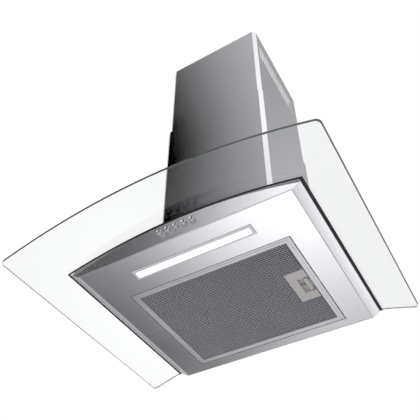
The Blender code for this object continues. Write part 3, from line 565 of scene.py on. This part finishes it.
print("glass spans", round(min(xs), 4), round(max(xs), 4), "faces", len(glass.data.polygons))

# %% [markdown]
# The four corners are ground round in plan, so the short edges that run through the thickness are bevelled.
# The blower passes through a rectangular cut-out, cut with a Boolean, and a last small bevel is the pencil
# polish that runs round every edge.

# %% Corners, cut-out and polished edge
CORNER_RADIUS = 8 * MM
CORNER_REACH = 4 * MM
CUT_PLAY = 4 * MM
CUT_HEIGHT = 0.2
HOLE_RADIUS = 3.5 * MM
HOLE_DEPTH = 60 * MM
POLISH_RADIUS = 0.8 * MM
x_reach = max(xs)
bpy.ops.object.mode_set(mode="EDIT")
bpy.ops.mesh.select_mode(type="EDGE")
bpy.ops.mesh.select_all(action="DESELECT")
bpy.ops.object.mode_set(mode="OBJECT")
for edge in glass.data.edges:
    ends_of = [glass.data.vertices[index].co for index in edge.vertices]
    outer = all(abs(co.x) > x_reach - CORNER_REACH for co in ends_of)
    same_y = abs(ends_of[0].y - ends_of[1].y) < 0.1 * MM
    short = (ends_of[0] - ends_of[1]).length < GLASS_THICK * 1.05
    edge.select = outer and same_y and short
bpy.ops.object.mode_set(mode="EDIT")
bpy.ops.mesh.bevel(offset=CORNER_RADIUS, segments=6, affect="EDGES")
bpy.ops.object.mode_set(mode="OBJECT")

house_low, house_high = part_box("blower_housing")
bpy.ops.object.select_all(action="DESELECT")
cut_size = (house_high.x - house_low.x + 2 * CUT_PLAY, house_high.y - house_low.y + 2 * CUT_PLAY,
            CUT_HEIGHT)
cut_middle = (0, (house_high.y + house_low.y) / 2, glass_mid)
bpy.ops.mesh.primitive_cube_add(size=1, location=cut_middle, scale=cut_size)
cutter = bpy.context.object
only(glass)
window = glass.modifiers.new("window", "BOOLEAN")
window.object = cutter
window.solver = "EXACT"
bpy.ops.object.modifier_apply(modifier="window")
bpy.data.objects.remove(cutter)
for screw in (name for name in nodes if name.startswith("glass_screw")):
    low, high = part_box(screw)
    bpy.ops.object.select_all(action="DESELECT")
    bpy.ops.mesh.primitive_cylinder_add(vertices=24, radius=HOLE_RADIUS, depth=HOLE_DEPTH,
                                        location=((low.x + high.x) / 2, (low.y + high.y) / 2, low.z))
    cutter = bpy.context.object
    only(glass)
    hole = glass.modifiers.new("hole", "BOOLEAN")
    hole.object = cutter
    hole.solver = "EXACT"
    bpy.ops.object.modifier_apply(modifier="hole")
    bpy.data.objects.remove(cutter)
pencil = glass.modifiers.new("pencil", "BEVEL")
pencil.width = POLISH_RADIUS
pencil.segments = 3
pencil.limit_method = "ANGLE"
pencil.angle_limit = math.radians(50)
bpy.ops.object.modifier_apply(modifier="pencil")
level_shading(glass, 30)
worn_on(glass, "hood", glass_clear, slot_of["glass_canopy"], "glass_canopy")
glass.data.materials.append(glass_rim)
for face in glass.data.polygons:
    outward = Vector((face.center.x, 0, face.center.z - axis_z)).normalized()
    face.material_index = 0 if abs(face.normal.dot(outward)) > 0.9 else 1
print("glass faces:", len(glass.data.polygons))

# %% [markdown]
# The filter's face is a woven aluminium cloth. Each strand is a thin bar that rises over one crossing
# strand and dips under the next. One strand is extruded a crossing at a time, its neighbour is made out of
# step, and an Array repeats the pair. The strands across the hood are the thicker ones. The real pitch is
# nearer 2 mm: 4.4 mm is the finest that still shows.

# %% Woven filter cloth
PITCH = 4.4 * MM
THICK_WIRE = 0.85 * MM
THIN_WIRE = 0.5 * MM
RISE = 0.6 * MM
frame_low, frame_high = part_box("filter_frame")
latch_low, latch_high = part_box("latch_housing")
cloth_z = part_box("filter_mesh_outer")[0].z
LIP = 11.5 * MM
right = frame_high.x - LIP
left = -right
front = frame_low.y + LIP
columns = round((right - left) / PITCH)
rows = round((frame_high.y - LIP - front) / PITCH)
bay_column = round((latch_low.x + 1 * MM - left) / PITCH)
bay_row = round((latch_low.y + 1 * MM - front) / PITCH)
bay_end = round((latch_high.y - 1 * MM - front) / PITCH)


def strand(start, along, crossings, high_first):
    """One wavy bar from start, along X or Y, that changes sides at each crossing."""
    bpy.ops.object.select_all(action="DESELECT")
    turn = (0, math.radians(90), 0) if along.x else (math.radians(90), 0, 0)
    height = RISE if high_first else -RISE
    bpy.ops.mesh.primitive_circle_add(vertices=4, radius=THICK_WIRE if along.x else THIN_WIRE,
                                      fill_type="NGON", rotation=turn,
                                      location=start + Vector((0, 0, height)))
    wire = bpy.context.object
    bpy.ops.object.transform_apply(location=True, rotation=True, scale=True)
    bpy.ops.object.mode_set(mode="EDIT")
    bpy.ops.mesh.select_all(action="SELECT")
    for _ in range(crossings):
        height = -height
        bpy.ops.mesh.extrude_region_move(
            TRANSFORM_OT_translate={"value": along * PITCH + Vector((0, 0, 2 * height))})
    bpy.ops.mesh.select_all(action="SELECT")
    bpy.ops.mesh.normals_make_consistent(inside=False)
    bpy.ops.object.mode_set(mode="OBJECT")
    return wire


def strands(along, across, first, last, begin, end):
    """Strands number first to last, side by side, that run from crossing begin to crossing end."""
    made_here = []
    for number in (first, first + 1):
        corner = Vector((left, front, cloth_z)) + (across * number + along * begin) * PITCH
        high_first = (number + begin + (1 if along.y else 0)) % 2 == 0
        wire = strand(corner, along, end - begin, high_first)
        repeat = wire.modifiers.new("repeat", "ARRAY")
        repeat.count = (last - number) // 2 + 1
        repeat.use_relative_offset = False
        repeat.use_constant_offset = True
        repeat.constant_offset_displace = across * PITCH * 2
        bpy.ops.object.modifier_apply(modifier="repeat")
        made_here.append(wire)
    return made_here


X = Vector((1, 0, 0))
Y = Vector((0, 1, 0))
blocks = {
    "cloth_across": [(X, Y, 0, bay_row - 1, 0, columns), (X, Y, bay_row, bay_end, 0, bay_column),
                     (X, Y, bay_end + 1, rows, 0, columns)],
    "cloth_along": [(Y, X, 0, bay_column, 0, rows), (Y, X, bay_column + 1, columns, 0, bay_row - 1),
                    (Y, X, bay_column + 1, columns, bay_end + 1, rows)],
}
for name, parts in blocks.items():
    wires = [wire for part in parts for wire in strands(*part)]
    only(wires[0])
    for wire in wires:
        wire.select_set(True)
    bpy.ops.object.join()
    cloth = bpy.context.object
    cloth.name = name
    bpy.ops.object.shade_smooth_by_angle(angle=math.radians(60))
    worn_on(cloth, "filter", made["aluminium_wire_drawn"], slot_of["filter_mesh_outer"], "filter_mesh_outer")
    print(name, "faces:", len(cloth.data.polygons))

# %% [markdown]
# The filter's frame is strip folded twice round the cloth. The inner fold stands a little proud and shows
# as a second line inside the edge. It is a ring: a plane is inset to leave a band, its middle is deleted,
# and Solidify gives the band its thickness.

# %% Folded hem on the filter frame
HEM_EDGE = 5.0 * MM
HEM_WIDTH = 6.6 * MM
HEM_THICK = 0.45 * MM
hem_size = (2 * (frame_high.x - HEM_EDGE), frame_high.y - frame_low.y - 2 * HEM_EDGE, 1)
bpy.ops.object.select_all(action="DESELECT")
bpy.ops.mesh.primitive_plane_add(size=1, location=(0, 0, 0))
hem = bpy.context.object
hem.name = "filter_hem"
bpy.ops.object.mode_set(mode="EDIT")
bpy.ops.transform.resize(value=hem_size)
bpy.ops.mesh.inset(thickness=HEM_WIDTH, depth=0)
bpy.ops.mesh.delete(type="FACE")
bpy.ops.object.mode_set(mode="OBJECT")
hem.data.transform(Matrix.Translation((0, (frame_low.y + frame_high.y) / 2, frame_low.z - 0.02 * MM)))
thick = hem.modifiers.new("thick", "SOLIDIFY")
thick.thickness = HEM_THICK
thick.offset = -1
bpy.ops.object.modifier_apply(modifier="thick")
round_over = hem.modifiers.new("round", "BEVEL")
round_over.width = 0.18 * MM
round_over.segments = 2
bpy.ops.object.modifier_apply(modifier="round")
worn_on(hem, "filter", made["aluminium_folded_satin"], slot_of["filter_frame"])
print("hem lowest:", round(min(v.co.z for v in hem.data.vertices) - panel_z, 5))

# %% [markdown]
# Each push button is turned from brass bar and plated. Seen in section it is a stem, a straight barrel, a
# rounded rim and a slightly dished face, so a half section is drawn and spun once round.

# %% Push buttons
SPIN_STEPS = 48
RIM_RADIUS = 1.0 * MM
STEM_RADIUS = 2.5 * MM
CAP_LENGTH = 9 * MM


def button_profile(low, high):
    """Half section of a button as (distance from its axis, Y), from the back of the stem to its face."""
    barrel = (high.x - low.x) / 2
    front_y = low.y
    back_y = high.y
    shoulder = front_y + CAP_LENGTH
    points = [(0, back_y), (STEM_RADIUS - 0.3 * MM, back_y), (STEM_RADIUS, back_y - 0.3 * MM),
              (STEM_RADIUS, shoulder), (barrel - 0.2 * MM, shoulder), (barrel, shoulder - 0.2 * MM),
              (barrel, front_y + RIM_RADIUS)]
    for step in range(1, 6):
        angle = math.radians(18 * step)
        points.append((barrel - RIM_RADIUS * (1 - math.cos(angle)),
                       front_y + RIM_RADIUS * (1 - math.sin(angle))))
    dish = [(3.4, 0.05), (3.0, 0.25), (2.0, 0.42), (1.0, 0.5), (0.0, 0.52)]
    points += [(radius * MM, front_y + sink * MM) for radius, sink in dish]
    return points


for index in range(1, 6):
    name = f"button_{index}"
    low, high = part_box(name)
    centre = ((low.x + high.x) / 2, 0, (low.z + high.z) / 2)
    section = button_profile(low, high)
    mesh = bpy.data.meshes.new(name)
    mesh.from_pydata([(centre[0] + r, y, centre[2]) for r, y in section],
                     [(i, i + 1) for i in range(len(section) - 1)], [])
    button = bpy.data.objects.new(name + "_piece", mesh)
    bpy.context.scene.collection.objects.link(button)
    only(button)
    bpy.ops.object.mode_set(mode="EDIT")
    bpy.ops.mesh.select_all(action="SELECT")
    bpy.ops.mesh.spin(steps=SPIN_STEPS, angle=2 * math.pi, center=centre, axis=(0, 1, 0))
    bpy.ops.mesh.select_all(action="SELECT")
    bpy.ops.mesh.remove_doubles(threshold=MERGE_WITHIN)
    bpy.ops.mesh.normals_make_consistent(inside=False)
    bpy.ops.object.mode_set(mode="OBJECT")
    bpy.ops.object.shade_smooth_by_angle(angle=math.radians(30))
    worn_on(button, nodes[name]["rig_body"], chrome, slot_of[name], name)
print("buttons done")

# %% [markdown]
# A small compression spring pushes the filter's latch out. It is a coil of drawn wire: a small circle, the
# wire's section, is swept round the spring's axis by a Screw modifier. When the latch is pulled the coil is
# squeezed against the wall of its recess.

# %% Latch spring
spring_low, spring_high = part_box("latch_spring")
SPRING_WIRE = 0.3 * MM
SPRING_TURNS = 5
spring_span = spring_high.x - spring_low.x - 2 * SPRING_WIRE
spring_radius = (spring_high.z - spring_low.z) / 2 - SPRING_WIRE
spring_middle = (spring_high + spring_low) / 2
bpy.ops.object.select_all(action="DESELECT")
bpy.ops.mesh.primitive_circle_add(vertices=8, radius=SPRING_WIRE, location=(0, 0, 0))
spring = bpy.context.object
spring.name = "latch_coil"
spring.data.transform(Matrix.Translation((0, 0, spring_radius)) @ Matrix.Rotation(math.radians(90), 4, "X"))
coil = spring.modifiers.new("coil", "SCREW")
coil.axis = "X"
coil.angle = 2 * math.pi
coil.screw_offset = spring_span / SPRING_TURNS
coil.iterations = SPRING_TURNS
coil.steps = 20
coil.render_steps = 20
bpy.ops.object.modifier_apply(modifier="coil")
bpy.ops.object.mode_set(mode="EDIT")
bpy.ops.mesh.select_all(action="SELECT")
bpy.ops.mesh.remove_doubles(threshold=MERGE_WITHIN)
bpy.ops.mesh.fill_holes(sides=8)
bpy.ops.mesh.select_all(action="SELECT")
bpy.ops.mesh.normals_make_consistent(inside=False)
bpy.ops.object.mode_set(mode="OBJECT")
bpy.ops.object.shade_smooth_by_angle(angle=math.radians(50))
spring_xs = [v.co.x for v in spring.data.vertices]
start_x = spring_low.x - min(spring_xs)
spring.data.transform(Matrix.Translation((start_x, spring_middle.y, spring_middle.z)))
worn_on(spring, "filter", made["spring_wire_drawn"], slot_of["latch_spring"], "latch_spring")
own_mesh(spring)
print("spring length:", round((max(spring_xs) - min(spring_xs)) / MM, 2), "mm")
print("spring faces:", len(spring.data.polygons))
